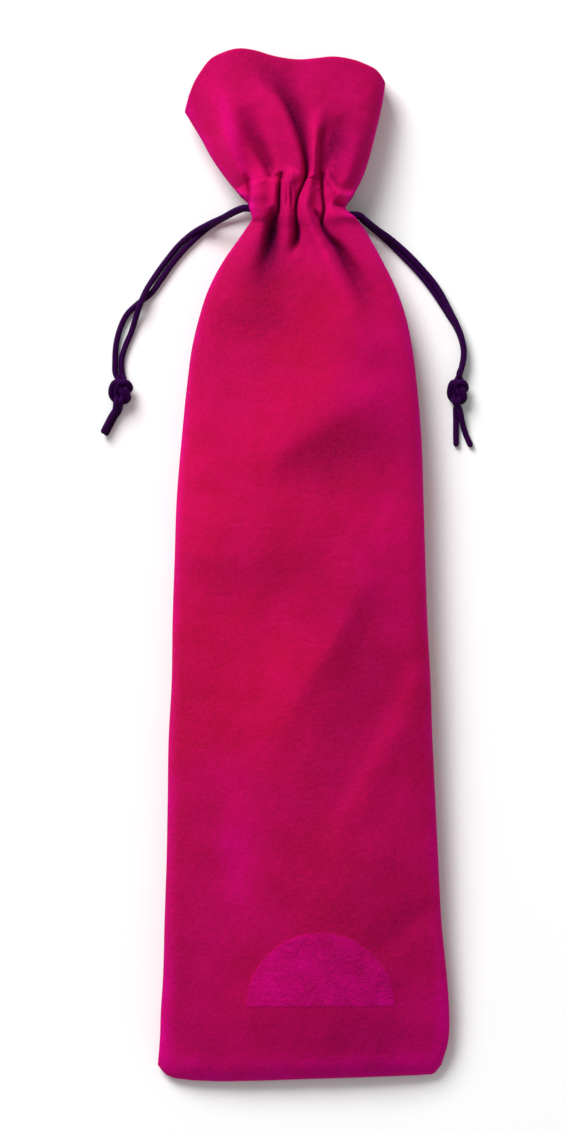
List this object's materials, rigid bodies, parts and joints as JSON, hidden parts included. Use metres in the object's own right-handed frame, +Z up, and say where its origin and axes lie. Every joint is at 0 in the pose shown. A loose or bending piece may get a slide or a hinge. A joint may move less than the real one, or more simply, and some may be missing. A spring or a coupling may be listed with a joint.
{
  "type": "drawstring wine gift bag",
  "caption": "Tall velvet drawstring gift bag for a wine bottle, lying on its back with its neck drawn in by knotted cords on both sides.",
  "frame": {"origin": "middle of the bag's footprint on the table, the cords left out", "axes": "+Y from the bottom seam to the mouth, +Z up from the table to the front panel, +X to the right seen from above"},
  "size_m": [0.1665, 0.4588, 0.0287],
  "materials": {
    "crimson_velvet": "matt pile",
    "crimson_thread": "matt",
    "aubergine_cord": "fine braid"
  },
  "bodies": {
    "bag": {"front_panel_bottom": "crimson_velvet", "front_panel_body": "crimson_velvet", "front_panel_shoulder": "crimson_velvet", "front_panel_channel": "crimson_velvet", "front_panel_ruffle": "crimson_velvet", "back_panel_bottom": "crimson_velvet", "back_panel_body": "crimson_velvet", "back_panel_shoulder": "crimson_velvet", "back_panel_channel": "crimson_velvet", "back_panel_ruffle": "crimson_velvet", "front_facing": "crimson_velvet", "back_facing": "crimson_velvet", "left_seam_allowance": "crimson_velvet", "right_seam_allowance": "crimson_velvet", "bottom_seam_allowance": "crimson_velvet", "left_overlock_thread": "crimson_thread", "right_overlock_thread": "crimson_thread", "bottom_overlock_thread": "crimson_thread", "front_channel_lower_stitching": "crimson_thread", "front_channel_upper_stitching": "crimson_thread", "back_channel_lower_stitching": "crimson_thread", "back_channel_upper_stitching": "crimson_thread"},
    "left_drawstring": {"left_cord_in_channel": "aubergine_cord", "left_cord_front_strand": "aubergine_cord", "left_cord_back_strand": "aubergine_cord", "left_cord_knot": "aubergine_cord", "left_cord_front_tail": "aubergine_cord", "left_cord_back_tail": "aubergine_cord"},
    "right_drawstring": {"right_cord_in_channel": "aubergine_cord", "right_cord_front_strand": "aubergine_cord", "right_cord_back_strand": "aubergine_cord", "right_cord_knot": "aubergine_cord", "right_cord_front_tail": "aubergine_cord", "right_cord_back_tail": "aubergine_cord"}
  },
  "joints": [
    {"name": "left_drawstring_pull", "type": "slide", "parent": "bag", "child": "left_drawstring", "axis": [-1, 0, 0], "range_m": [0, 0.008]},
    {"name": "right_drawstring_pull", "type": "slide", "parent": "bag", "child": "right_drawstring", "axis": [1, 0, 0], "range_m": [0, 0.008]}
  ]
}
